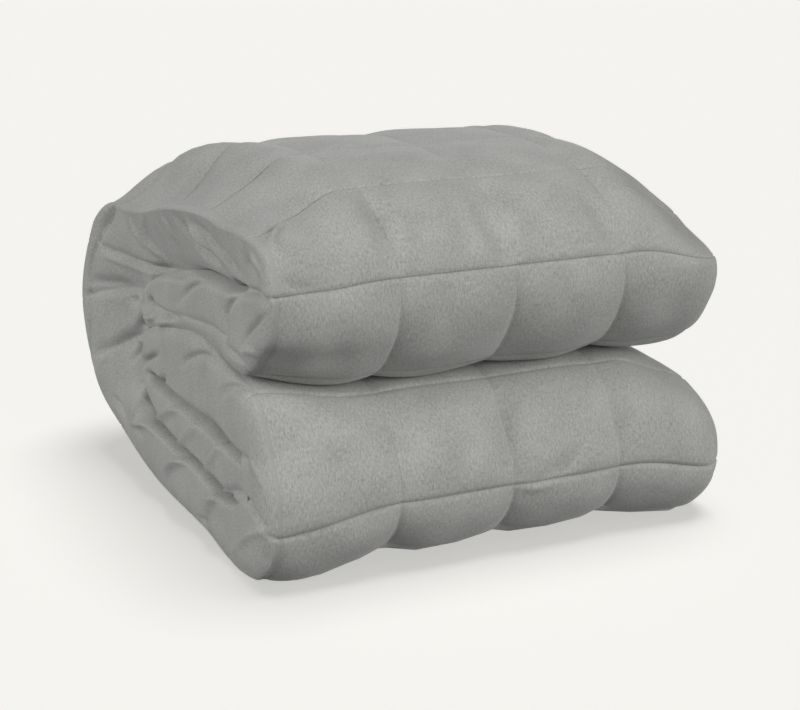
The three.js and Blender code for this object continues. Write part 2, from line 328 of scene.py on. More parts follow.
@dataclass(frozen=True)
class StripPath:
    """The section of the strip, from its inner end to its outer end.

    Seam lines across the strip are counted from 1 at the upper front, so a line number is also
    a distance along the strip in squares.
    """

    take_up: float = 0.955  # length of a puffed square along the strip, in flat squares
    first_seam: float = 3.55  # from the inner end to line 1
    divisions: int = 9000

    def measure(self) -> tuple[np.ndarray, np.ndarray]:
        """Measures the outer face.

        Returns:
            Places along it, counted in folds, and the line number at each.
        """
        places = np.linspace(0.0, len(FOLDS) - 1.0, self.divisions)
        curve = through_folds(np.array([fold.outer for fold in FOLDS]), places)
        steps = np.linalg.norm(np.diff(curve, axis=0), axis=1)
        distance = np.concatenate([[0.0], np.cumsum(steps)])
        return places, 1.0 + (distance - self.first_seam) / self.take_up

    def section(self, lines: np.ndarray, left_share: np.ndarray) -> "StripSection":
        """The strip's section at line numbers.

        Args:
            lines: line numbers, in an array of any shape.
            left_share: 1 at the left end, 0 away from it, in the same shape.

        Returns:
            The section there, in which the folds at mid-width and those of the left end are mixed.
        """
        places, measured = self.measure()
        at = np.interp(lines.ravel(), measured, places)
        left = {fold.at: fold for fold in LEFT_FOLDS}
        sides = []
        for face in ("outer", "inner"):
            middle = np.array([getattr(fold, face) for fold in FOLDS])
            end = np.array([getattr(left.get(fold.at, fold), face) for fold in FOLDS])
            share = left_share.reshape(-1, 1)
            mixed = mix(through_folds(middle, at), through_folds(end, at), share)
            sides.append(mixed.reshape(*lines.shape, 2))
        puff = np.interp(at, np.arange(len(FOLDS)), [fold.puff for fold in FOLDS])
        return StripSection(at.reshape(lines.shape), *sides, puff.reshape(lines.shape))


@dataclass(frozen=True)
class StripSection:
    """The section of the strip at an array of places along it."""

    place: np.ndarray  # counted in folds
    outer: np.ndarray  # [y, z] on the outer face
    inner: np.ndarray  # [y, z] on the inner face
    puff: np.ndarray

    @property
    def thickness(self) -> np.ndarray:
        """Distance from the inner face to the outer face."""
        return np.linalg.norm(self.outer - self.inner, axis=-1)

    @property
    def across(self) -> np.ndarray:
        """Directions from the inner face to the outer face."""
        return unit(self.outer - self.inner)

    @property
    def spine_share(self) -> np.ndarray:
        """1 at the middle of the spine, 0 three folds away from it."""
        return 1.0 - passed(np.abs(self.place - SPINE_MIDDLE), 1.0, 3.0)

    @property
    def lower(self) -> np.ndarray:
        """1 on the lower roll, 0 on the upper one."""
        return (self.place > SPINE_MIDDLE).astype(float)

    def left_side(self, column: str) -> np.ndarray:
        """One column of the left side's table at each place."""
        known = [FOLD_NAMES.index(side.at) for side in LEFT_SIDES]
        return np.interp(self.place, known, [getattr(side, column) for side in LEFT_SIDES])


# ---- The two sides and the sag -------------------------------------------------------------------


def rounding(depth: np.ndarray, radius: np.ndarray, roundness: float = 2.2) -> np.ndarray:
    """How far a rounded edge stands out at a depth, 0 at its start and 1 from the radius on.

    It is a superellipse: (1 - (1 - depth / radius) ^ roundness) ^ (1 / roundness).

    Args:
        depth: depths under the face.
        radius: depth that the rounding takes up.
        roundness: the superellipse's power, 2 for a quarter of an ellipse.

    Returns:
        The shares of the side's reach.
    """
    left = np.clip(1.0 - depth / radius, 0.0, 1.0)
    return (1.0 - left**roundness) ** (1.0 / roundness)


@dataclass(frozen=True)
class RightEdge:
    """The folded right side of the strip: a rounded edge whose section is a superellipse."""

    seam: float = float(SQUARES_WIDE)
    face_past_seam: float = 0.04  # how far past the seam the outer face's last points lie
    face_end: float = -0.23  # where the flat of the face ends, in squares past the seam
    reach: float = 0.09  # how far the side stands past the seam
    depth: float = 0.36  # most of the thickness that the rounding takes up
    roundness: float = 2.2

    @property
    def half_width(self) -> float:
        """Width of the rounding."""
        return self.reach - self.face_end

    def cut(self, past_seam: np.ndarray, thickness: np.ndarray) -> np.ndarray:
        """Depth of the rounding under the face: 1 - (1 - share ^ roundness) ^ (1 / roundness).

        Args:
            past_seam: distances past the seam; the share is how much of the width they take.
            thickness: the strip's thickness there.

        Returns:
            The depths, in squares.
        """
        share = np.clip((past_seam - self.face_end) / self.half_width, 0.0, 1.0)
        deep = np.minimum(self.depth, thickness / 2)
        return deep * (1.0 - (1.0 - share**self.roundness) ** (1.0 / self.roundness))

    def past_seam(self, depth: np.ndarray, thickness: np.ndarray) -> np.ndarray:
        """The inverse of cut.

        Args:
            depth: depths under the outer face.
            thickness: the strip's thickness there.

        Returns:
            How far the side stands past the seam, in squares.
        """
        deep = np.minimum(self.depth, thickness / 2)
        nearest = np.minimum(depth, thickness - depth)
        share = 1.0 - np.clip(1.0 - nearest / deep, 0.0, 1.0) ** self.roundness
        return self.face_end + self.half_width * share ** (1.0 / self.roundness)


@dataclass(frozen=True)
class LeftEdge:
    """The left side of the strip, whose form changes from fold to fold."""

    spread: float = 0.55  # squares from the seam over which the left end's own form fades
    hollow: float = 0.12  # how far the thick spine's sides are drawn in beside the inner layers
    hollow_depths: Span = (0.5, 1.4)  # where the hollow starts and is whole

    def share(self, x: np.ndarray) -> np.ndarray:
        """1 at the left end, 0 past its spread."""
        return 1.0 - passed(x, 0.0, self.spread)

    def drawn_in(self, depth: np.ndarray, section: "StripSection") -> np.ndarray:
        """How far the spine's sides are drawn in, at depths under the outer face."""
        return passed(depth, *self.hollow_depths) * section.spine_share * self.hollow

    def past_seam(self, depth: np.ndarray, section: "StripSection") -> np.ndarray:
        """The form of the side: its reach, rounded from both faces, less the spine's hollow.

        Args:
            depth: depths under the outer face.
            section: the strip's section there.

        Returns:
            How far the side stands past the seam, in squares.
        """
        thick = section.thickness
        outer = np.minimum(section.left_side("outer_round"), thick / 2)
        inner = np.minimum(section.left_side("inner_round"), thick / 2)
        form = section.left_side("reach") * rounding(depth, outer) * rounding(thick - depth, inner)
        return form - self.drawn_in(depth, section)


@dataclass(frozen=True)
class Sag:
    """How the two ends of the roll sag and are pulled in, in squares.

    The corners, tops and the shoulder are shares of the height above the level, and right_lower is
    a share of the whole height. A span is in x, y or z, as its name ends.
    """

    level: float = 2.2
    left_start_x: float = -0.04
    left_reach: float = 0.8
    left_reach_at_spine: float = 0.65
    left_reach_y: Span = (2.6, 4.0)
    right_start_x: float = 0.03  # past the right seam, less the reach
    right_reach: float = 0.9
    left_corner: float = 0.16
    left_top: float = 0.48
    left_top_y: Span = (0.75, 1.5)
    left_shoulder: float = 0.26
    left_shoulder_y: Span = (3.5, 4.5)
    right_corner: float = 0.72
    right_top: float = 0.37
    right_top_y: Span = (0.5, 2.1)
    seat_lift: float = 0.12
    seat_height: float = 1.48
    seat_off_z: Span = (0.2, 0.55)  # above or below the seat's height
    seat_y: Span = (1.7, 2.6)
    right_lower: float = 0.14
    right_lower_y: Span = (2.2, 3.6)
    left_toe: float = 0.1
    left_toe_x: Span = (0.0, 1.0)
    right_toe: float = 0.07
    toe_y: Span = (1.2, 2.0)
    toe_z: Span = (0.3, 0.9)
    right_pull: float = 0.05
    corner_y: Span = (0.6, 1.5)
    corner_z: Span = (1.5, 1.9)
    right_pull_at_brow: float = 0.07
    brow_y: Span = (0.9, 2.0)
    brow_z: Span = (2.0, 2.45)
    right_pull_of_lower: float = 0.11
    lower_shoulder_z: Span = (0.75, 1.3)
    spine_pull: float = 0.13
    spine_y: Span = (4.2, 5.4)

    def apply(self, points: np.ndarray, lower: np.ndarray) -> np.ndarray:
        """Moves the points of both ends down and in.

        Args:
            points: x, y, z in squares, as rows by ring by 3.
            lower: 1 for the rows of the lower roll, 0 for the others.

        Returns:
            The moved points.
        """
        x, y, z = points[..., 0], points[..., 1], points[..., 2]
        reach = mix(self.left_reach, self.left_reach_at_spine, passed(y, *self.left_reach_y))
        left = 1.0 - passed(x, self.left_start_x, reach)
        right_start = SQUARES_WIDE + self.right_start_x - self.right_reach
        right = passed(x, right_start, float(SQUARES_WIDE))
        left_top = mix(self.left_corner, self.left_top, passed(y, *self.left_top_y))
        left_top = mix(left_top, self.left_shoulder, passed(y, *self.left_shoulder_y))
        right_top = mix(self.right_corner, self.right_top, passed(y, *self.right_top_y))
        sunk = self.level + (z - self.level) * (1 - left * left_top) * (1 - right * right_top)
        z = np.where(z > self.level, sunk, z)

        at_seat = 1.0 - passed(np.abs(z - self.seat_height), *self.seat_off_z)
        z = z + self.seat_lift * left * at_seat * (1.0 - passed(y, *self.seat_y))
        lower_share = lower * right * (1.0 - passed(y, *self.right_lower_y))
        z = z * (1.0 - self.right_lower * lower_share)
        at_toe = (1.0 - passed(y, *self.toe_y)) * (1.0 - passed(z, *self.toe_z))
        left_toe = self.left_toe * (1.0 - passed(x, *self.left_toe_x))
        z = z - (left_toe + self.right_toe * right) * at_toe
        at_corner = passed(z, *self.corner_z) * (1.0 - passed(y, *self.corner_y))
        at_brow = passed(z, *self.brow_z) * (1.0 - passed(y, *self.brow_y))
        at_shoulder = lower * passed(z, *self.lower_shoulder_z)
        at_shoulder = at_shoulder * (1.0 - passed(y, *self.right_lower_y))
        x = x - right * (self.right_pull * at_corner + self.right_pull_at_brow * at_brow)
        x = x - right * self.right_pull_of_lower * at_shoulder
        y = y - self.spine_pull * left * passed(y, *self.spine_y)
        return np.stack([x, y, z], axis=-1)


# ---- Creases placed one by one -------------------------------------------------------------------

CREASE_STEPS = 8  # straight pieces of a crease's line from one place of its path to the next
CREASE_REACH = 3.0  # widths from the line at which the height counts as nothing
CREASE_END = 0.4  # share of the line over which the height grows from an end
STEEP_SHARE = 0.3  # width of a pleat's steep side, as a share of its soft side
THREAD_WIDTH = 1.7 * MM  # width of the narrow dip in a seam
SEAM_WIDE, SEAM_NARROW = 0.6, 0.4  # shares of a seam's depth in its wide dip and its narrow one


class Kind(Enum):
    """How the height of a crease falls off beside its line."""

    RIDGE = "a soft rise"
    TROUGH = "a soft dip"
    PLEAT = "a rise that drops steeply on the right of its path"
    SEAM = "a wide dip with a narrow one in it"


class Crease(NamedTuple):
    """One crease, as a smooth line on a chart of the cloth."""

    name: str
    kind: Kind
    height: float  # millimetres
    width: float  # millimetres, to where the height has fallen to a third
    path: tuple[tuple[float, float], ...]  # places on the chart, in squares
    ends: tuple[float, float] = (0.25, 0.25)  # shares of the height at the two ends

    def line(self) -> np.ndarray:
        """The points of the crease's line, one row for each."""
        last = len(self.path) - 1
        places = np.linspace(0.0, last, CREASE_STEPS * last + 1)
        return through_folds(np.array(self.path, dtype=float), places)

    def near(self, places: np.ndarray) -> np.ndarray:
        """Indices of the places that the crease can reach."""
        line, margin = self.line(), CREASE_REACH * self.width * MM
        low, high = line.min(axis=0) - margin, line.max(axis=0) + margin
        return np.flatnonzero(((places > low) & (places < high)).all(axis=1))

    def height_at(self, places: np.ndarray) -> np.ndarray:
        """Height of the crease at places on its chart.

        At the distance s from the line it is exp(-(s / width)^2), in a form that depends on the
        kind, and over the first and the last part of the line it grows from the end's share.

        Args:
            places: places near the crease, one row for each.

        Returns:
            Their heights, in squares.
        """
        line, width = self.line(), self.width * MM
        start, step = line[:-1], np.diff(line, axis=0)
        offset = places[:, None, :] - start
        share = np.clip((offset * step).sum(axis=2) / (step**2).sum(axis=1), 0.0, 1.0)
        away = np.linalg.norm(offset - share[..., None] * step, axis=2)
        closest = away.argmin(axis=1)
        pick = (np.arange(len(places)), closest)
        distance, turned = away[pick], step[closest]
        side = turned[:, 0] * offset[pick][:, 1] - turned[:, 1] * offset[pick][:, 0]
        along = (closest + share[pick]) / len(step)
        fade = mix(self.ends[0], 1.0, passed(along, 0.0, CREASE_END))
        fade = fade * mix(self.ends[1], 1.0, passed(1.0 - along, 0.0, CREASE_END))
        soft = np.exp(-((distance / width) ** 2))
        steep = np.exp(-((distance / (STEEP_SHARE * width)) ** 2))
        narrow = np.exp(-((distance / THREAD_WIDTH) ** 2))
        form = {
            Kind.RIDGE: soft,
            Kind.TROUGH: -soft,
            Kind.PLEAT: np.where(side > 0.0, soft, steep),
            Kind.SEAM: -SEAM_WIDE * soft - SEAM_NARROW * narrow,
        }[self.kind]
        return self.height * MM * fade * form


# Charted on the side view: y and z in squares.
SIDE_CREASES: tuple[Crease, ...] = (
    # layer 1, under its rim
    Crease("shoulder ridge", Kind.RIDGE, 5.8, 3.0,
           ((3.09, 2.54), (3.2, 2.4), (3.2, 2.26), (2.93, 2.14))),
    Crease("shoulder fold", Kind.RIDGE, 4.1, 2.8, ((3.54, 2.44), (3.47, 2.34), (3.3, 2.22))),
    Crease("rim tuck", Kind.RIDGE, 3.6, 2.6, ((2.62, 2.61), (2.58, 2.5), (2.5, 2.38))),
    Crease("hollow under the rim", Kind.TROUGH, 8.8, 5.8,
           ((2.32, 2.64), (2.17, 2.57), (2.03, 2.48), (1.81, 2.4), (1.56, 2.35))),
    Crease("its sharp edge", Kind.RIDGE, 5.9, 2.8, ((2.09, 2.63), (1.93, 2.53), (1.73, 2.43))),
    Crease("second hollow", Kind.TROUGH, 6.9, 4.4,
           ((1.96, 2.65), (1.75, 2.6), (1.61, 2.52), (1.39, 2.46), (1.18, 2.41))),
    Crease("corner tuck", Kind.RIDGE, 2.7, 3.0, ((0.87, 2.61), (0.79, 2.56), (0.67, 2.48))),
    Crease("corner pinch", Kind.TROUGH, 3.4, 3.4, ((1.01, 2.57), (0.93, 2.5), (0.76, 2.42))),
    Crease("gap to the corner", Kind.TROUGH, 5.4, 3.2,
           ((1.34, 2.285), (1.14, 2.29), (0.9, 2.31), (0.71, 2.33), (0.6, 2.3)), (1, 0.5)),
    # the spine
    Crease("pocket", Kind.TROUGH, 7.6, 6.0, ((4.45, 2.07), (4.21, 2.24), (4.07, 2.37), (3.99, 2.4))),
    Crease("first gather", Kind.TROUGH, 7.8, 3.6,
           ((4.31, 2.01), (3.97, 2.01), (3.6, 2.02), (3.19, 2.04), (2.8, 2.08), (2.3, 2.15)), (0.5, 1)),
    Crease("its lip", Kind.RIDGE, 3.5, 3.2, ((4.23, 1.95), (3.88, 1.96), (3.4, 1.97))),
    Crease("second gather", Kind.TROUGH, 7.6, 5.5, ((4.68, 1.62), (4.13, 1.71), (3.58, 1.79))),
    Crease("seam at the middle", Kind.SEAM, 6.6, 4.0,
           ((4.81, 1.47), (4.47, 1.57), (4.16, 1.64), (3.84, 1.71), (3.6, 1.72)), (0.6, 1)),
    Crease("dent", Kind.TROUGH, 5.9, 4.8, ((3.93, 1.6), (3.82, 1.62), (3.7, 1.63))),
    Crease("deep gather", Kind.TROUGH, 11.1, 6.5,
           ((3.58, 1.45), (3.78, 1.31), (4.03, 1.19), (4.24, 1.08), (4.54, 0.98)), (0.6, 0.3)),
    Crease("its bright edge", Kind.RIDGE, 5.7, 3.2,
           ((3.73, 1.27), (4.02, 1.16), (4.23, 1.04), (4.46, 0.91))),
    Crease("piped rim", Kind.SEAM, 3.9, 3.4,
           ((4.41, 2.08), (4.6, 1.89), (4.7, 1.73), (4.74, 1.49), (4.74, 1.25), (4.8, 0.95)), (1, 1)),
    Crease("first crumple", Kind.TROUGH, 5.6, 2.8, ((3.83, 1.35), (3.65, 1.46), (3.58, 1.51))),
    Crease("second crumple", Kind.RIDGE, 4.7, 2.8, ((3.81, 1.28), (3.7, 1.29), (3.6, 1.29))),
    Crease("third crumple", Kind.TROUGH, 6.1, 3.2, ((3.87, 1.05), (3.7, 1.18), (3.58, 1.26))),
    Crease("fourth crumple", Kind.RIDGE, 3.8, 3.0, ((3.61, 1.02), (3.57, 0.97), (3.55, 0.92))),
    # layer 2 and the upper front
    Crease("hollow of the curl", Kind.TROUGH, 10.3, 5.0, ((3.27, 1.72), (3.2, 1.73), (3.14, 1.74))),
    Crease("curl", Kind.RIDGE, 4.7, 2.8, ((3.35, 1.64), (3.29, 1.59), (3.1, 1.63), (3.08, 1.7))),
    Crease("fold from the curl", Kind.TROUGH, 6.2, 3.0,
           ((3.06, 1.74), (2.85, 1.73), (2.64, 1.74), (2.44, 1.77))),
    Crease("seam of layer 2", Kind.SEAM, 3.1, 3.4,
           ((2.55, 1.79), (2.13, 1.83), (1.6, 1.89), (1.29, 1.89))),
    Crease("lobe", Kind.RIDGE, 5.3, 4.2, ((3.09, 1.56), (2.83, 1.64), (2.57, 1.72))),
    Crease("first cell", Kind.SEAM, 4.4, 3.6, ((2.48, 1.88), (2.24, 2.03), (1.97, 2.15), (1.81, 2.21))),
    Crease("second cell", Kind.SEAM, 4.8, 3.4, ((1.26, 1.94), (1.27, 2.07), (1.19, 2.18), (0.88, 2.33))),
    Crease("third cell", Kind.SEAM, 4.0, 3.2, ((1.0, 1.87), (0.87, 2.01), (0.69, 2.14), (0.57, 2.21))),
    Crease("toe crumple", Kind.TROUGH, 3.4, 3.0, ((1.27, 1.88), (1.24, 1.8), (1.1, 1.78), (0.95, 1.74))),
    Crease("toe ridge", Kind.RIDGE, 2.7, 3.0, ((1.0, 1.83), (0.83, 1.87), (0.76, 1.82))),
    # layer 3, the small turn and layer 4
    Crease("long pleat", Kind.TROUGH, 6.5, 3.2, ((3.54, 1.09), (3.23, 1.23), (2.96, 1.35))),
    Crease("short pleat", Kind.TROUGH, 5.2, 3.0, ((3.18, 1.0), (2.98, 1.09), (2.79, 1.18))),
    Crease("arc of layer 3", Kind.SEAM, 4.8, 3.4,
           ((2.37, 1.38), (2.22, 1.48), (1.85, 1.6), (1.6, 1.61))),
    Crease("arc at the front", Kind.SEAM, 4.8, 3.4, ((1.48, 1.35), (1.28, 1.48), (1.02, 1.52))),
    Crease("pleat of layer 4", Kind.PLEAT, 4.3, 5.0, ((3.1, 0.72), (2.8, 0.88), (2.5, 1.0)), (0.7, 0.7)),
    Crease("next pleat", Kind.PLEAT, 4.3, 5.0, ((2.55, 0.65), (2.3, 0.82), (2.06, 0.98)), (0.7, 0.7)),
    Crease("last pleat", Kind.PLEAT, 4.3, 5.0, ((1.9, 0.62), (1.72, 0.78), (1.55, 0.96)), (0.7, 0.7)),
    Crease("front corner line", Kind.RIDGE, 2.4, 3.0,
           ((0.88, 1.08), (0.81, 1.0), (0.7, 0.93), (0.64, 0.85))),
    # layer 5
    Crease("rim above the seam", Kind.TROUGH, 7.8, 5.2, ((3.52, 0.78), (3.33, 0.73), (3.12, 0.71))),
    Crease("gathered seam", Kind.RIDGE, 5.7, 3.2,
           ((3.59, 0.55), (3.38, 0.61), (3.22, 0.66), (3.05, 0.64))),
    Crease("step at the spine", Kind.RIDGE, 3.4, 3.4,
           ((3.58, 0.81), (3.51, 0.74), (3.53, 0.64), (3.59, 0.57))),
    Crease("fold of the spine", Kind.TROUGH, 3.4, 4.0, ((4.11, 0.66), (3.94, 0.64), (3.73, 0.56))),
    Crease("pinch", Kind.TROUGH, 3.4, 2.8, ((3.56, 0.54), (3.44, 0.52), (3.31, 0.52))),
    Crease("first scallop", Kind.PLEAT, 6.1, 4.6, ((2.76, 0.36), (2.55, 0.51), (2.29, 0.61)), (0.6, 1)),
    Crease("second scallop", Kind.PLEAT, 6.1, 4.6, ((1.84, 0.27), (1.65, 0.47), (1.51, 0.57)), (0.6, 1)),
    Crease("notch below it", Kind.TROUGH, 3.1, 3.2, ((2.0, 0.17), (1.87, 0.21), (1.74, 0.26))),
    Crease("third scallop", Kind.PLEAT, 2.7, 4.6,
           ((1.22, 0.18), (0.97, 0.37), (0.74, 0.49), (0.62, 0.54)), (0.6, 1)),
    Crease("toe of the corner", Kind.RIDGE, 1.4, 3.0, ((1.05, 0.23), (1.05, 0.16), (0.98, 0.12))),
    Crease("loop of the corner", Kind.TROUGH, 1.7, 3.0, ((0.63, 0.4), (0.66, 0.3), (0.7, 0.2))),
    Crease("gap to the lower corner", Kind.TROUGH, 4.5, 3.4,
           ((1.4, 0.6), (1.15, 0.67), (0.91, 0.67), (0.7, 0.59), (0.62, 0.54)), (1, 0.6)),
    Crease("between layers 3 and 4", Kind.TROUGH, 5.2, 4.2,
           ((3.3, 1.08), (2.9, 1.04), (2.4, 1.02), (1.8, 1.0), (1.3, 0.98), (0.95, 0.98)), (0.6, 0.8)),
)

# Charted on the outer face: squares from the left seam, and line number.
FACE_CREASES: tuple[Crease, ...] = (
    # the upper front and the top's front edge
    Crease("left of seam 1", Kind.TROUGH, 5.1, 8.0,
           ((1.0, 1.85), (0.98, 1.5), (0.94, 1.15)), (0.2, 0.7)),
    Crease("left of seam 2", Kind.TROUGH, 5.4, 9.0, ((1.9, 1.75), (1.88, 1.4), (1.92, 1.1)), (0.2, 0.7)),
    Crease("left of seam 3", Kind.TROUGH, 4.8, 9.0,
           ((2.83, 1.6), (2.86, 1.3), (2.95, 1.08)), (0.2, 0.7)),
    Crease("right of seam 1", Kind.RIDGE, 2.7, 9.0,
           ((1.13, 1.7), (1.1, 1.45), (1.08, 1.15)), (0.2, 0.6)),
    Crease("right of seam 2", Kind.RIDGE, 3.1, 10.0,
           ((2.08, 1.65), (2.05, 1.35), (2.06, 1.1)), (0.2, 0.6)),
    Crease("right of seam 3", Kind.RIDGE, 2.5, 10.0,
           ((3.06, 1.55), (3.05, 1.3), (3.08, 1.1)), (0.2, 0.6)),
    Crease("slack by the second square", Kind.TROUGH, 3.7, 9.0,
           ((1.62, 1.45), (1.6, 1.25), (1.5, 1.04))),
    Crease("slack below it", Kind.TROUGH, 4.4, 10.0, ((1.38, 0.97), (1.37, 0.8), (1.42, 0.5))),
    Crease("slack below the third", Kind.TROUGH, 4.1, 10.0, ((2.45, 0.97), (2.43, 0.78), (2.48, 0.5))),
    Crease("dent of the first square", Kind.TROUGH, 4.8, 16.0, ((0.3, 0.42), (0.5, 0.34), (0.75, 0.36))),
    Crease("tug at the corner", Kind.RIDGE, 3.7, 3.6,
           ((0.38, 2.02), (0.16, 1.93), (0.05, 1.74), (0.04, 1.45))),
    Crease("pucker at the corner", Kind.TROUGH, 2.4, 4.0, ((0.05, 1.2), (0.12, 1.08), (0.3, 1.03))),
    # the lower front
    Crease("fold beside seam 2", Kind.TROUGH, 4.4, 9.0,
           ((2.08, 13.75), (2.0, 13.5), (1.9, 13.2)), (0.3, 0.5)),
    Crease("fold beside seam 3", Kind.TROUGH, 4.1, 9.0,
           ((3.05, 13.65), (3.0, 13.42), (2.95, 13.2)), (0.3, 0.5)),
    Crease("slack above seam 13", Kind.TROUGH, 3.7, 8.0, ((1.6, 13.5), (1.56, 13.32), (1.52, 13.1))),
    Crease("slanted tug", Kind.TROUGH, 4.8, 6.0,
           ((2.28, 13.02), (2.42, 13.09), (2.56, 13.2), (2.7, 13.34))),
    Crease("kink of seam 13", Kind.RIDGE, 3.4, 5.0, ((2.02, 13.0), (2.2, 12.96), (2.4, 13.0))),
    Crease("soft roll of the first square", Kind.RIDGE, 3.7, 14.0,
           ((0.3, 13.5), (0.6, 13.62), (0.9, 13.5))),
)


def crease_field(chart: np.ndarray, creases: Sequence[Crease]) -> np.ndarray:
    """Height of a set of creases over a chart.

    Args:
        chart: places on the chart, with their two coordinates on the last axis.
        creases: the creases.

    Returns:
        The sum of their heights, in squares.
    """
    places = chart.reshape(-1, 2)
    total = np.zeros(len(places))
    for crease in creases:
        near = crease.near(places)
        total[near] += crease.height_at(places[near])
    return total.reshape(chart.shape[:-1])


# ---- The quilted surface -------------------------------------------------------------------------


LEAST_STEP = 0.01  # squares between an end and the next place


def quilted_steps(start: float, stop: float, steps: int, gather: float = 0.62) -> np.ndarray:
    """Places from start to stop that fall on every seam and lie closer together beside seams.

    In each square a place is t - gather * sin(2 pi t) / (2 pi), for t in equal steps.

    Args:
        start: the first place, in squares.
        stop: the last place.
        steps: places in each square.
        gather: how much closer they lie beside a seam, 0 for even steps.

    Returns:
        The places, with start and stop.
    """
    first, last = math.floor(start), math.ceil(stop)
    even = np.arange((last - first) * steps + 1) / steps
    places = first + even - gather * np.sin(2 * math.pi * even) / (2 * math.pi)
    inside = places[(places > start + LEAST_STEP) & (places < stop - LEAST_STEP)]
    return np.concatenate([[start], inside, [stop]])


def from_seam(place: np.ndarray) -> np.ndarray:
    """Distance from the nearest seam, in squares."""
    return np.abs(place - np.round(place))


def crown(place: np.ndarray, flatness: float) -> np.ndarray:
    """Height of a puffed square: 1 - (1 - 2 d) ^ flatness, at the distance d from a seam."""
    return 1.0 - (1.0 - 2.0 * from_seam(place)) ** flatness


class Band(Enum):
    """The four bands of a ring, in the order in which it goes round."""

    OUTER = 0
    RIGHT = 1
    INNER = 2
    LEFT = 3


SHOWN_LINES = ((-0.75, 8.4), (12.5, 15.4))  # where the outer face isn't hidden


@dataclass(frozen=True)
class Ring:
    """The points of one ring: the band of each, and its place in it.

    The place is x in squares on the two faces, and the share of the way from the outer face to
    the inner one, 0 to 1, on the two sides.
    """

    band: np.ndarray
    place: np.ndarray

    def of(self, band: Band) -> np.ndarray:
        """Indices of the band's points."""
        return np.flatnonzero(self.band == band.value)

    def share(self, band: Band) -> np.ndarray:
        """1 for the band's points and 0 for the others, as one row."""
        return (self.band == band.value)[None, :].astype(float)

    @property
    def on_face(self) -> np.ndarray:
        """Whether each point lies on the outer or the inner face."""
        return np.isin(self.band, (Band.OUTER.value, Band.INNER.value))


@dataclass(frozen=True)
class Quilting:
    """The relief of the squares and of the seams between them, in squares."""

    puff: float = 7.2 * MM
    flatness_across: float = 2.4
    flatness_along: float = 2.2
    seam_share: float = 0.3  # of the puff, that is left where a seam crosses the strip
    along_power: float = 0.9
    pinch: float = 4.0 * MM  # how far the cross seams draw in the right side
    pinch_flatness: float = 3.0
    pinch_power: float = 0.6
    seam_depth: float = 1.8 * MM
    cross_width: float = 1.6 * MM
    cross_on_right: float = 0.7  # share of the depth on the right side
    cross_reach: float = 12.0 * MM  # how far down the left side a cross seam goes
    along_width: float = 1.7 * MM
    along_share: float = 0.45  # share of the depth where a seam runs along the strip
    least_visible: float = 0.25  # share of the depth where the face is pressed flat
    uneven: float = 0.6 * MM
    uneven_waves: Span = (0.35, 1.1)  # shortest and longest
    uneven_seed: int = 4


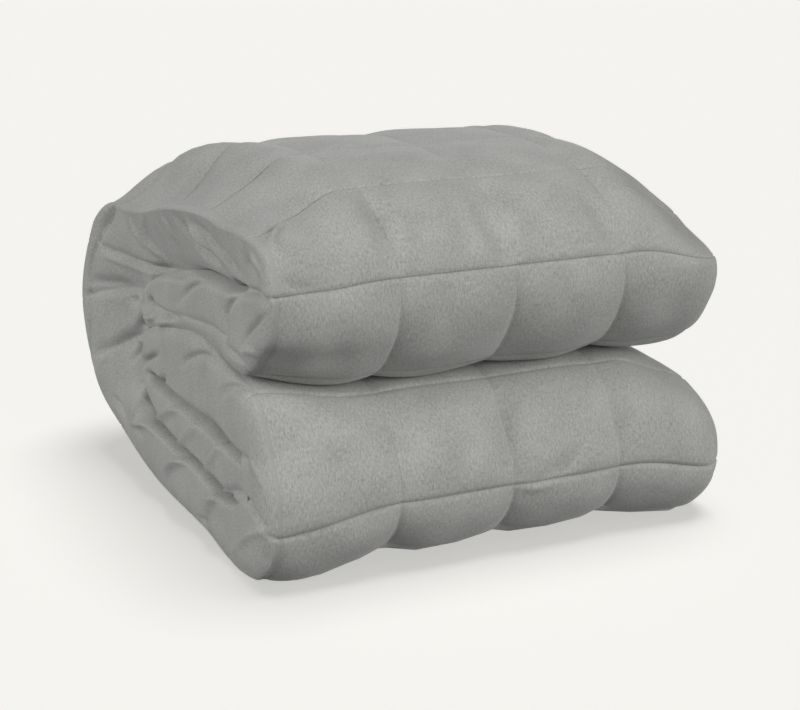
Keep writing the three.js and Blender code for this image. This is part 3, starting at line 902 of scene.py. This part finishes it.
@dataclass
class QuiltedBlanket:
    """The whole folded blanket as one padded piece."""

    path: StripPath = field(default_factory=StripPath)
    sag: Sag = field(default_factory=Sag)
    quilting: Quilting = field(default_factory=Quilting)
    name: str = "quilted_blanket_cloth"
    right: RightEdge = field(default_factory=RightEdge)
    left: LeftEdge = field(default_factory=LeftEdge)
    steps_along: int = 32
    gather_along: float = 0.5
    steps_across: int = 22
    left_points: int = 56
    right_points: int = 12
    hidden_step: int = 5  # of so many points on the outer face one is kept where it is hidden
    inner_step: int = 11  # of so many points across the strip the inner face has one
    lag_reach: Span = (-0.3, 1.0)  # x over which the seams' lag fades
    map_side: float = 0.3  # squares that the left side takes on the map of squares
    map_step: float = 0.04  # and each ring of a rounded end
    side_evenness: float = 0.75  # 1 for even steps down the two sides, 0 for close ones at the faces
    side_fade: float = 0.12  # squares from the left seam in which the side's creases fade
    end_depth: float = 0.11  # how far the strip's rounded ends stand out
    end_angles: tuple[float, ...] = (22.0, 42.0, 62.0, 80.0)  # degrees, from the strip outwards
    left_inset: float = 0.145  # from the CAD box's left side to the left seam
    front_inset: float = -0.4702  # from the CAD box's front to the path's origin

    def __post_init__(self) -> None:
        """Lays out the rows and the ring, and works out the section at each point."""
        _, measured = self.path.measure()
        self.lines = quilted_steps(
            measured[0], measured[-1], self.steps_along, gather=self.gather_along
        )
        self.ring = self.make_ring()
        x = self.ring_x()
        lag = np.interp(self.lines, *zip(*SEAM_LAGS))
        slid = self.lines[:, None] + lag[:, None] * (1.0 - passed(x, *self.lag_reach))[None, :]
        share = np.broadcast_to(self.left.share(x), slid.shape)
        self.section = self.path.section(slid, share)

    def make_ring(self) -> Ring:
        """Lays out the ring: fine over the outer face and the left side, coarse inside.

        Returns:
            The ring.
        """
        outer = quilted_steps(0.0, self.right.seam + self.right.face_past_seam, self.steps_across)
        right = np.linspace(0.0, 1.0, self.right_points + 2)[1:-1]
        inner = np.unique([*outer[:: self.inner_step], outer[-1]])[::-1]
        left = np.linspace(1.0, 0.0, self.left_points + 2)[1:-1]
        parts = ((Band.OUTER, outer), (Band.RIGHT, right), (Band.INNER, inner), (Band.LEFT, left))
        return Ring(
            np.concatenate([np.full(len(places), band.value) for band, places in parts]),
            np.concatenate([places for _, places in parts]),
        )

    def ring_x(self) -> np.ndarray:
        """Distance of the ring's points from the left seam; the sides count as their seams."""
        side = np.where(self.ring.band == Band.LEFT.value, 0.0, self.right.seam)
        return np.where(self.ring.on_face, self.ring.place, side)

    def base(self) -> np.ndarray:
        """The smooth form without its squares.

        A point lies on the section at its depth under the outer face. That is the right edge's
        rounding on the outer face and the thickness less the rounding on the inner one, and down
        the two sides it goes from the one to the other.

        Returns:
            Rows by ring by x, y, z, in squares.
        """
        section, ring = self.section, self.ring
        thick = section.thickness
        place = np.broadcast_to(ring.place, thick.shape)
        eased = mix((1.0 - np.cos(math.pi * place)) / 2.0, place, self.side_evenness)
        cut = self.right.cut(place - self.right.seam, thick)
        last = np.array(ring.place[ring.of(Band.OUTER)[-1]])
        at_right = self.right.cut(last - self.right.seam, thick)
        left_depth = thick * eased
        right_depth = at_right + (thick - 2.0 * at_right) * eased
        band = np.broadcast_to(ring.band, thick.shape)
        depth = np.choose(band, [cut, right_depth, thick - cut, left_depth])
        left_x = -self.left.past_seam(left_depth, section)
        right_x = self.right.seam + self.right.past_seam(right_depth, thick)
        right_x = right_x - self.left.drawn_in(right_depth, section)
        x = np.choose(band, [place, right_x, place, left_x])
        drawn = section.left_side("inset") + section.left_side("lean") * depth / thick
        x = x + drawn * self.left.share(self.ring_x())[None, :]
        yz = section.outer - section.across * depth[..., None]
        points = np.concatenate([x[..., None], yz], axis=-1)
        self.side_depth = np.where(band == Band.LEFT.value, left_depth, 0.0)
        return self.sag.apply(points, section.lower)

    @staticmethod
    def normals(points: np.ndarray) -> np.ndarray:
        """Outward directions of a closed tube of points, from the differences of neighbours.

        Args:
            points: rows by ring by 3.

        Returns:
            Vectors of length one, in the same shape.
        """
        along = np.gradient(points, axis=0)
        around = np.roll(points, -1, axis=1) - np.roll(points, 1, axis=1)
        return unit(np.cross(around, along))

    def relief(self, base: np.ndarray) -> np.ndarray:
        """Height of the squares, seams and creases over the smooth form.

        The height is the crown of each square, less the pinch of the right side, less grooves that
        fall off as exp(-(distance / width)^2), with the faces' creases and a slight unevenness.

        Args:
            base: the smooth form.

        Returns:
            Rows by ring, in squares.
        """
        ring, sewn = self.ring, self.quilting
        line = self.lines[:, None]
        puff = self.section.puff
        x = np.where(ring.on_face, ring.place, 0.0)[None, :]
        is_outer, is_right, is_left = map(ring.share, (Band.OUTER, Band.RIGHT, Band.LEFT))

        along = mix(sewn.seam_share, 1.0, crown(line, sewn.flatness_along) ** sewn.along_power)
        face = crown(np.clip(x, 0.0, SQUARES_WIDE), sewn.flatness_across)
        height = sewn.puff * puff * face * along * is_outer

        swell = np.sin(math.pi * np.clip(ring.place, 0, 1))[None, :]
        pinch = 1.0 - crown(line, sewn.pinch_flatness)
        height = height - sewn.pinch * (swell**sewn.pinch_power * is_right) * pinch

        visible = np.clip(puff, sewn.least_visible, 1.0)
        beside = np.exp(-((self.side_depth / sewn.cross_reach) ** 2)) * is_left
        groove_cross = np.exp(-((from_seam(line) / sewn.cross_width) ** 2))
        groove_cross = groove_cross * (is_outer + sewn.cross_on_right * is_right + beside)
        from_left = np.where(is_left > 0, np.hypot(base[..., 0], self.side_depth), from_seam(x))
        groove_along = np.exp(-((from_left / sewn.along_width) ** 2))
        groove_along = groove_along * (sewn.along_share * is_outer + is_left)
        height = height - sewn.seam_depth * np.maximum(groove_cross, groove_along) * visible
        chart = np.stack(np.broadcast_arrays(x, line), axis=-1)
        height = height + crease_field(chart, FACE_CREASES) * is_outer
        waves = random_waves(base, *sewn.uneven_waves, seed=sewn.uneven_seed)
        return height + sewn.uneven * waves * is_outer * visible

    def side_relief(self, base: np.ndarray) -> np.ndarray:
        """How far the left side's creases stand out to the left, in squares."""
        at_side = 1.0 - passed(base[..., 0], 0.0, self.side_fade)
        return crease_field(base[..., 1:], SIDE_CREASES) * at_side

    def surface(self) -> np.ndarray:
        """The finished form: the smooth one moved out by the relief, flat on the table.

        Returns:
            Rows by ring by x, y, z, in squares.
        """
        base = self.base()
        points = base + self.normals(base) * self.relief(base)[..., None]
        points[..., 0] -= self.side_relief(base)
        points[..., 2] = np.maximum(points[..., 2], 0.0)
        return points

    def end_rows(self, points: np.ndarray) -> np.ndarray:
        """Adds rounded ends: rings that shrink towards the middle of the strip's thickness.

        A ring at the angle a has its distance from the middle times cos a, and stands the ends'
        depth times sin a past the end.

        Args:
            points: rows by ring by 3.

        Returns:
            The same with the rings of both ends.
        """
        mirrored = self.opposite()
        added = []
        for first, second in ((0, 1), (-1, -2)):
            ring = points[first]
            middle = (ring + ring[mirrored]) / 2
            outwards = unit((points[first] - points[second]).mean(axis=0))
            angles = np.radians(self.end_angles if first < 0 else self.end_angles[::-1])
            added.append(
                middle
                + (ring - middle) * np.cos(angles)[:, None, None]
                + outwards * (self.end_depth * np.sin(angles))[:, None, None]
            )
        return np.concatenate([added[0], points, added[1]])

    def opposite(self) -> np.ndarray:
        """Pairs the ring's points across the thickness.

        Returns:
            For each point, the index of the one across from it.
        """
        ring = self.ring
        found = np.zeros(len(ring.band), dtype=int)
        for one, other in ((Band.OUTER, Band.INNER), (Band.INNER, Band.OUTER)):
            mine, theirs = ring.of(one), ring.of(other)
            gaps = np.abs(ring.place[mine][:, None] - ring.place[theirs][None, :])
            found[mine] = theirs[gaps.argmin(axis=1)]
        for band in (Band.LEFT, Band.RIGHT):
            mine = ring.of(band)
            found[mine] = mine[::-1]
        return found

    def kept_columns(self) -> np.ndarray:
        """Thins the outer face for the rows that are hidden.

        Returns:
            The ring indices that they keep.
        """
        outer = self.ring.of(Band.OUTER)
        keep = np.ones(len(self.ring.band), dtype=bool)
        keep[outer] = False
        keep[outer[:: self.hidden_step]] = True
        keep[outer[-1]] = True
        return np.flatnonzero(keep)

    def strips_that_show(self, row_count: int) -> np.ndarray:
        """Tells which strips of faces, between two rows, have their outer face in plain sight.

        Args:
            row_count: number of rows, with those of the rounded ends.

        Returns:
            One truth value for each strip.
        """
        line = np.pad(self.lines, (row_count - len(self.lines)) // 2, mode="edge")
        middle = (line[:-1] + line[1:]) / 2
        shows = np.zeros(len(middle), dtype=bool)
        for first, last in SHOWN_LINES:
            shows |= (middle > first) & (middle < last)
        return shows

    def faces(self, row_count: int) -> list[list[int]]:
        """The faces of the tube, and those that close its two ends.

        Strips in plain sight use every point of the ring. The others keep fewer, and where the two
        kinds meet, a face of the coarse strip takes in the fine strip's points.

        Args:
            row_count: number of rows, with those of the rounded ends.

        Returns:
            The point indices of each face.
        """
        size = len(self.ring.band)
        shows = self.strips_that_show(row_count)
        made: list[list[int]] = []
        for fine, columns in ((True, np.arange(size)), (False, self.kept_columns())):
            after = np.roll(columns, -1)
            beside_fine = np.zeros(len(shows), dtype=bool)
            if not fine:
                beside_fine[1:] |= shows[:-1]
                beside_fine[:-1] |= shows[1:]
            row = np.flatnonzero((shows == fine) & ~beside_fine)[:, None] * size
            quads = np.stack([row + columns, row + after, row + after + size, row + columns + size])
            made += quads.reshape(4, -1).T.tolist()
            for strip in np.flatnonzero((shows == fine) & beside_fine).tolist():
                fine_before = strip > 0 and shows[strip - 1]
                fine_behind = strip + 1 < len(shows) and shows[strip + 1]
                for one, other in zip(columns.tolist(), after.tolist()):
                    between = tuple(range(one + 1, other))
                    near = (one, *(between if fine_before else ()), other)
                    far = (other, *(between[::-1] if fine_behind else ()), one)
                    face = [strip * size + k for k in near]
                    made.append(face + [(strip + 1) * size + k for k in far])
        caps = self.cap_faces()
        last = (row_count - 1) * size
        return made + [cap[::-1] for cap in caps] + [[k + last for k in cap] for cap in caps]

    def cap_faces(self) -> list[list[int]]:
        """Closes a ring with bands across its thickness and a face at each of its two sides.

        Returns:
            The ring indices of each face.
        """
        kept = self.kept_columns()
        outer = np.intersect1d(self.ring.of(Band.OUTER), kept)
        inner = self.ring.of(Band.INNER)
        right_side, left_side = self.ring.of(Band.RIGHT), self.ring.of(Band.LEFT)
        caps = []
        stops = [int(np.abs(self.ring.place[outer] - self.ring.place[k]).argmin()) for k in inner]
        for one, other, low, high in zip(inner[:-1], inner[1:], stops[1:], stops[:-1]):
            caps.append([*outer[low : high + 1].tolist(), int(one), int(other)])
        caps.append([int(outer[-1]), *right_side.tolist(), int(inner[0])])
        caps.append([int(inner[-1]), *left_side.tolist(), int(outer[0])])
        return caps

    def place_in_frame(self, points: np.ndarray) -> np.ndarray:
        """Puts the strip where the CAD solid is.

        Args:
            points: x, y, z in squares on the last axis.

        Returns:
            The same points in metres, in the shared frame.
        """
        low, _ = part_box("quilted_blanket")
        origin = np.array([low.x / SQUARE + self.left_inset, low.y / SQUARE + self.front_inset, 0])
        return (points + origin) * SQUARE

    def build(self) -> bpy.types.Object:
        """Makes the mesh from the points that its faces use, and gives it its two maps.

        Returns:
            The blanket's object.
        """
        points = self.end_rows(self.surface())
        places = self.place_in_frame(points)
        faces = self.faces(len(points))
        used = np.unique(np.concatenate([np.asarray(face) for face in faces]))
        moved = np.zeros(places.shape[0] * places.shape[1], dtype=int)
        moved[used] = np.arange(len(used))
        faces = [moved[face].tolist() for face in faces]
        made = mesh_object(self.name, places.reshape(-1, 3)[used], faces)
        self.add_maps(made.data, places, used)
        return made

    def add_maps(self, mesh: bpy.types.Mesh, places: np.ndarray, used: np.ndarray) -> None:
        """Adds the UV maps "cloth", in metres of cloth, and "squares", in quilted squares.

        On "cloth" U goes round the ring from the left seam and V along the strip: both are running
        sums of the distances between neighbouring points, U of their mean over the rows and V of
        their median over the outer face.
        On "squares" the seams lie at whole numbers, and U is below 0 on the left side.

        Args:
            mesh: the mesh that gets the maps.
            places: all the points in metres, as rows by ring by 3.
            used: indices of those that the mesh kept.
        """
        ring = self.ring
        around = np.linalg.norm(np.diff(places, axis=1), axis=2).mean(axis=0)
        along = np.linalg.norm(np.diff(places, axis=0), axis=2)
        across = np.concatenate([[0.0], np.cumsum(around)])
        down = np.cumsum(np.median(along[:, ring.of(Band.OUTER)], axis=1))
        down = np.concatenate([[0.0], down])
        side = -self.map_side * np.sin(math.pi * ring.place)
        square = np.where(ring.band == Band.LEFT.value, side, ring.place)
        past = self.right.seam + self.right.face_past_seam
        square = np.where(ring.band == Band.RIGHT.value, past, square)
        added = self.map_step * np.arange(1, len(self.end_angles) + 1)
        line = np.concatenate([self.lines[0] - added[::-1], self.lines, self.lines[-1] + added])
        corners = np.zeros(len(mesh.loops), dtype=np.int64)
        mesh.loops.foreach_get("vertex_index", corners)
        for name, u, v in (("cloth", across, down), ("squares", square, line)):
            chart = np.stack(np.broadcast_arrays(u[None, :], v[:, None]), axis=-1)
            chart = chart.reshape(-1, 2)[used][corners]
            layer = mesh.uv_layers.new(name=name)
            layer.data.foreach_set("uv", chart.astype(np.float32).ravel())


# ---- Finishes ------------------------------------------------------------------------------------


def add_node(
    tree: bpy.types.NodeTree,
    kind: str,
    settings: dict[str, object] | None = None,
    values: dict[str | int, object] | None = None,
    links: dict[str | int, bpy.types.NodeSocket] | None = None,
) -> bpy.types.Node:
    """Adds a node to a tree.

    Args:
        tree: the material's node tree.
        kind: the node's type name.
        settings: properties of the node.
        values: numbers and colours of its input sockets.
        links: output sockets that feed its input sockets.

    Returns:
        The new node.
    """
    node = tree.nodes.new(kind)
    for name, value in (settings or {}).items():
        setattr(node, name, value)
    for name, value in (values or {}).items():
        node.inputs[name].default_value = value
    for name, source in (links or {}).items():
        tree.links.new(source, node.inputs[name])
    return node


def new_material(name: str) -> tuple[bpy.types.Material, bpy.types.NodeTree]:
    """Makes an empty node material.

    Args:
        name: the finish's name.

    Returns:
        The material and its node tree.
    """
    made = bpy.data.materials.new(name)
    made.use_nodes = True
    made.node_tree.nodes.clear()
    return made, made.node_tree


@dataclass(frozen=True)
class BrushedCotton:
    """Brushed cotton flannel in heathered warm grey.

    Woven from mixed light and dark fibres, then brushed, so that a short nap lies along the
    strip: the eye gets a matt, faintly streaked grey with a soft bright rim at grazing angles.
    Sizes are in metres.
    """

    name: str = "brushed_cotton_heathered_grey"
    light: str = "babbb7"
    dark: str = "8b8c88"
    fibre_width: float = 0.001  # real fibres are finer, but would not show at this size
    fibre_length: float = 0.0048
    fleck: float = 0.0022
    fleck_share: float = 0.4  # of the tone, beside the fibres
    mottle: float = 0.034
    mottle_share: float = 0.22
    contrast: Span = (0.3, 0.7)  # tones that give the dark and the light colour
    nap_depth: float = 0.00035
    nap_strength: float = 0.5
    # painted shade: a dark colour mixed into the seam lines, standing in for the shade in their grooves
    seam_shade: str = "61625e"
    seam_shade_share: float = 0.36  # share of the painted seam shade in the colour of the seams
    seam: float = 0.0011  # from the middle of a sewn seam to its edge
    seam_depth: float = 0.0009
    seam_strength: float = 0.6
    pulled_flat: float = 0.15  # how much of a seam shows where it runs along the strip
    rim: Span = (-0.1, -0.02)  # squares over which the cross seams end at the left

    def seams(self, tree: bpy.types.NodeTree) -> bpy.types.NodeSocket:
        """Nodes for the sewn seams, whose value sets both their painted shade and their bump.

        The distance to the nearest whole number is a ping-pong of half a square. On the left side
        the cross seams end at the rim.

        Args:
            tree: the material's node tree.

        Returns:
            A value that is 1 on the middle of a seam and 0 past its edges.
        """
        squares = add_node(tree, "ShaderNodeUVMap", {"uv_map": "squares"}).outputs["UV"]
        axes = add_node(tree, "ShaderNodeSeparateXYZ", links={"Vector": squares}).outputs
        across, along = (
            add_node(tree, "ShaderNodeMath", {"operation": "PINGPONG"}, {1: 0.5}, {0: axes[k]})
            for k in ("X", "Y")
        )
        low, high = self.rim
        past_rim = add_node(
            tree,
            "ShaderNodeMapRange",
            values={"From Min": low, "From Max": high, "To Min": 0.5, "To Max": 0.0},
            links={"Value": axes["X"]},
        ).outputs["Result"]
        along = add_node(tree, "ShaderNodeMath", links={0: along.outputs[0], 1: past_rim})
        lines = (
            add_node(
                tree,
                "ShaderNodeMapRange",
                {"interpolation_type": "SMOOTHSTEP"},
                {"From Max": self.seam / SQUARE, "To Min": strength, "To Max": 0.0},
                {"Value": distance.outputs[0]},
            ).outputs["Result"]
            for distance, strength in ((across, self.pulled_flat), (along, 1.0))
        )
        return add_node(
            tree, "ShaderNodeMath", {"operation": "MAXIMUM"}, links=dict(enumerate(lines))
        ).outputs[0]

    def grain(
        self, tree: bpy.types.NodeTree
    ) -> tuple[bpy.types.NodeSocket, bpy.types.NodeSocket]:
        """Nodes for the uneven cloth: noise for the lying fibres, for flecks and for mottling.

        Args:
            tree: the material's node tree.

        Returns:
            The fibres and flecks mixed, and with the mottling mixed in as well.
        """
        chart = add_node(tree, "ShaderNodeUVMap", {"uv_map": "cloth"}).outputs["UV"]
        solid = add_node(tree, "ShaderNodeTexCoord").outputs["Object"]
        streaked, flecked = (
            add_node(
                tree,
                "ShaderNodeMapping",
                values={"Scale": (1.0 / wide, 1.0 / long, 1.0)},
                links={"Vector": chart},
            ).outputs["Vector"]
            for wide, long in ((self.fibre_width, self.fibre_length), (self.fleck, self.fleck))
        )
        tone, fleck, mottle = (
            add_node(
                tree,
                "ShaderNodeTexNoise",
                {"noise_dimensions": dimensions},
                {"Scale": scale, "Detail": detail, "Roughness": rough, "Distortion": bent},
                {"Vector": vector},
            ).outputs["Fac"]
            for dimensions, vector, scale, detail, rough, bent in (
                ("2D", streaked, 1.0, 3.0, 0.6, 0.3),
                ("2D", flecked, 1.0, 2.0, 0.55, 0.0),
                ("3D", solid, 1.0 / self.mottle, 2.0, 0.5, 0.0),
            )
        )
        tones = []
        for share, added in ((self.fleck_share, fleck), (self.mottle_share, mottle)):
            tone = add_node(
                tree,
                "ShaderNodeMix",
                {"data_type": "FLOAT"},
                {"Factor": share},
                {2: tone, 3: added},
            ).outputs[0]
            tones.append(tone)
        return tones[0], tones[1]

    def make(self) -> bpy.types.Material:
        """Builds the material's nodes.

        Returns:
            The material.
        """
        made, tree = new_material(self.name)
        seam = self.seams(tree)
        fibres, tone = self.grain(tree)
        low, high = self.contrast
        shade = add_node(
            tree,
            "ShaderNodeMapRange",
            values={"From Min": low, "From Max": high},
            links={"Value": tone},
        ).outputs["Result"]
        colour = add_node(
            tree,
            "ShaderNodeMix",
            {"data_type": "RGBA"},
            {6: linear_rgba(self.dark), 7: linear_rgba(self.light)},
            {"Factor": shade},
        ).outputs[2]
        # painted shade: along the seams the colour is darkened towards the seam-shade colour, where
        # their grooves are shaded
        seam_shade = add_node(
            tree, "ShaderNodeMath", {"operation": "MULTIPLY"}, {1: self.seam_shade_share}, {0: seam}
        ).outputs[0]
        colour = add_node(
            tree,
            "ShaderNodeMix",
            {"data_type": "RGBA"},
            {7: linear_rgba(self.seam_shade)},
            {"Factor": seam_shade, 6: colour},
        ).outputs[2]
        raised = add_node(
            tree,
            "ShaderNodeBump",
            values={"Strength": self.nap_strength, "Distance": self.nap_depth},
            links={"Height": fibres},
        ).outputs["Normal"]
        grooved = add_node(
            tree,
            "ShaderNodeBump",
            {"invert": True},
            {"Strength": self.seam_strength, "Distance": self.seam_depth},
            {"Height": seam, "Normal": raised},
        ).outputs["Normal"]
        shader = add_node(
            tree,
            "ShaderNodeBsdfPrincipled",
            values={
                "Roughness": 0.92,
                "Specular IOR Level": 0.25,
                "Sheen Weight": 0.25,
                "Sheen Roughness": 0.45,
            },
            links={"Base Color": colour, "Normal": grooved},
        ).outputs["BSDF"]
        add_node(tree, "ShaderNodeOutputMaterial", links={"Surface": shader})
        return made


@dataclass(frozen=True)
class OpalAcrylic:
    """Matt opal acrylic that glows evenly, so that shadows on it stay faint and soft."""

    name: str = "matt_opal_acrylic"
    colour: str = "cfcecb"
    glow: str = "f4f3ef"
    glow_strength: float = 0.575

    def make(self) -> bpy.types.Material:
        """Builds the material's nodes.

        Returns:
            The material.
        """
        made, tree = new_material(self.name)
        shader = add_node(
            tree,
            "ShaderNodeBsdfPrincipled",
            values={
                "Base Color": linear_rgba(self.colour),
                "Roughness": 1.0,
                "Specular IOR Level": 0.0,
                "Emission Color": linear_rgba(self.glow),
                "Emission Strength": self.glow_strength,
            },
        ).outputs["BSDF"]
        add_node(tree, "ShaderNodeOutputMaterial", links={"Surface": shader})
        return made


# ---- Studio --------------------------------------------------------------------------------------


@dataclass(frozen=True)
class SunLamp:
    """A distant lamp with a wide, soft disc."""

    name: str
    azimuth: float  # degrees from +Y towards +X, of the place from which the light comes
    elevation: float
    strength: float
    width: float  # degrees

    def make(self) -> bpy.types.Object:
        """Adds the lamp, turned so that its own +Z points to where the light comes from.

        Returns:
            The lamp's object.
        """
        lamp = bpy.data.lights.new(self.name, "SUN")
        lamp.energy = self.strength
        lamp.angle = math.radians(self.width)
        made = bpy.data.objects.new(self.name, lamp)
        turn, rise = math.radians(self.azimuth), math.radians(self.elevation)
        source = Vector(
            (math.sin(turn) * math.cos(rise), math.cos(turn) * math.cos(rise), math.sin(rise))
        )
        made.rotation_mode = "QUATERNION"
        made.rotation_quaternion = source.to_track_quat("Z", "Y")
        bpy.context.scene.collection.objects.link(made)
        return made


@dataclass(frozen=True)
class Studio:
    """A pale floor with its own lamp, soft lamps for the blanket, a dim sky and the camera."""

    floor_size: float = 60.0  # metres
    lens: float = 85.0  # millimetres
    sensor: float = 36.0
    turn: float = 26.70  # degrees by which the camera looks to the right of +Y
    dip: float = 15.09  # degrees by which it looks down
    stand: tuple[float, float, float] = (-0.7278, -1.4898, 0.5582)
    sky_above: float = 0.1
    sky_below: float = 0.08
    horizon: float = 0.15  # sine of the elevation over which the two mix, on either side of level
    floor_lamp: SunLamp = SunLamp(
        "floor_lamp", azimuth=84.0, elevation=81.0, strength=1.64, width=36.0
    )
    lamps: tuple[SunLamp, ...] = (
        SunLamp("left_lamp", azimuth=-90.0, elevation=28.0, strength=1.95, width=28.0),
        SunLamp("front_lamp", azimuth=180.0, elevation=24.0, strength=1.1, width=40.0),
        SunLamp("right_front_lamp", azimuth=140.0, elevation=24.0, strength=1.4, width=40.0),
    )

    def build(self) -> None:
        """Makes the floor, the lights and the camera."""
        half = self.floor_size / 2
        corners = np.array([[-half, -half, 0], [half, -half, 0], [half, half, 0], [-half, half, 0]])
        floor = mesh_object("floor", corners, [[0, 1, 2, 3]])
        floor.data.materials.append(OpalAcrylic().make())
        floor.visible_diffuse = False  # the light from below comes from the lower sky alone
        self.link_lamp(self.floor_lamp.make(), floor, "INCLUDE")
        for lamp in self.lamps:
            self.link_lamp(lamp.make(), floor, "EXCLUDE")
        self.make_sky()
        self.make_camera()

    @staticmethod
    def link_lamp(lamp: bpy.types.Object, floor: bpy.types.Object, state: str) -> None:
        """Lets a lamp light the floor alone, or all but the floor.

        Args:
            lamp: the lamp's object.
            floor: the floor's object.
            state: INCLUDE for the floor alone, EXCLUDE for all but the floor.
        """
        linked = bpy.data.collections.new(f"{lamp.name}_floor")
        linked.objects.link(floor)
        linked.collection_objects[0].light_linking.link_state = state
        lamp.light_linking.receiver_collection = linked

    def make_sky(self) -> None:
        """White light from all round, with its own strength above and below the horizon."""
        world = bpy.data.worlds.new("soft_room")
        world.use_nodes = True
        tree = world.node_tree
        tree.nodes.clear()
        direction = add_node(tree, "ShaderNodeTexCoord").outputs["Generated"]
        height = add_node(tree, "ShaderNodeSeparateXYZ", links={"Vector": direction}).outputs["Z"]
        strength = add_node(
            tree,
            "ShaderNodeMapRange",
            values={
                "From Min": -self.horizon,
                "From Max": self.horizon,
                "To Min": self.sky_below,
                "To Max": self.sky_above,
            },
            links={"Value": height},
        ).outputs["Result"]
        background = add_node(
            tree,
            "ShaderNodeBackground",
            values={"Color": linear_rgba("ffffff")},
            links={"Strength": strength},
        ).outputs["Background"]
        add_node(tree, "ShaderNodeOutputWorld", links={"Surface": background})
        bpy.context.scene.world = world

    def make_camera(self) -> None:
        """Puts the camera at its stand."""
        lens = bpy.data.cameras.new("camera")
        lens.lens = self.lens
        lens.sensor_width = self.sensor
        made = bpy.data.objects.new("camera", lens)
        made.location = self.stand
        made.rotation_euler = (math.radians(90.0 - self.dip), 0.0, math.radians(-self.turn))
        bpy.context.scene.collection.objects.link(made)
        bpy.context.scene.camera = made
        bpy.context.scene.view_settings.view_transform = "Standard"


# ---- The whole -----------------------------------------------------------------------------------


def main() -> None:
    """Builds the studio and the blanket, and ties the blanket to its CAD node."""
    logging.basicConfig(level=logging.INFO)
    Studio().build()
    blanket = QuiltedBlanket().build()
    blanket.data.materials.append(BrushedCotton().make())
    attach(blanket, "root")
    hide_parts("quilted_blanket")
    LOG.info("%s: %d faces", blanket.name, len(blanket.data.polygons))


if __name__ == "__main__":
    main()
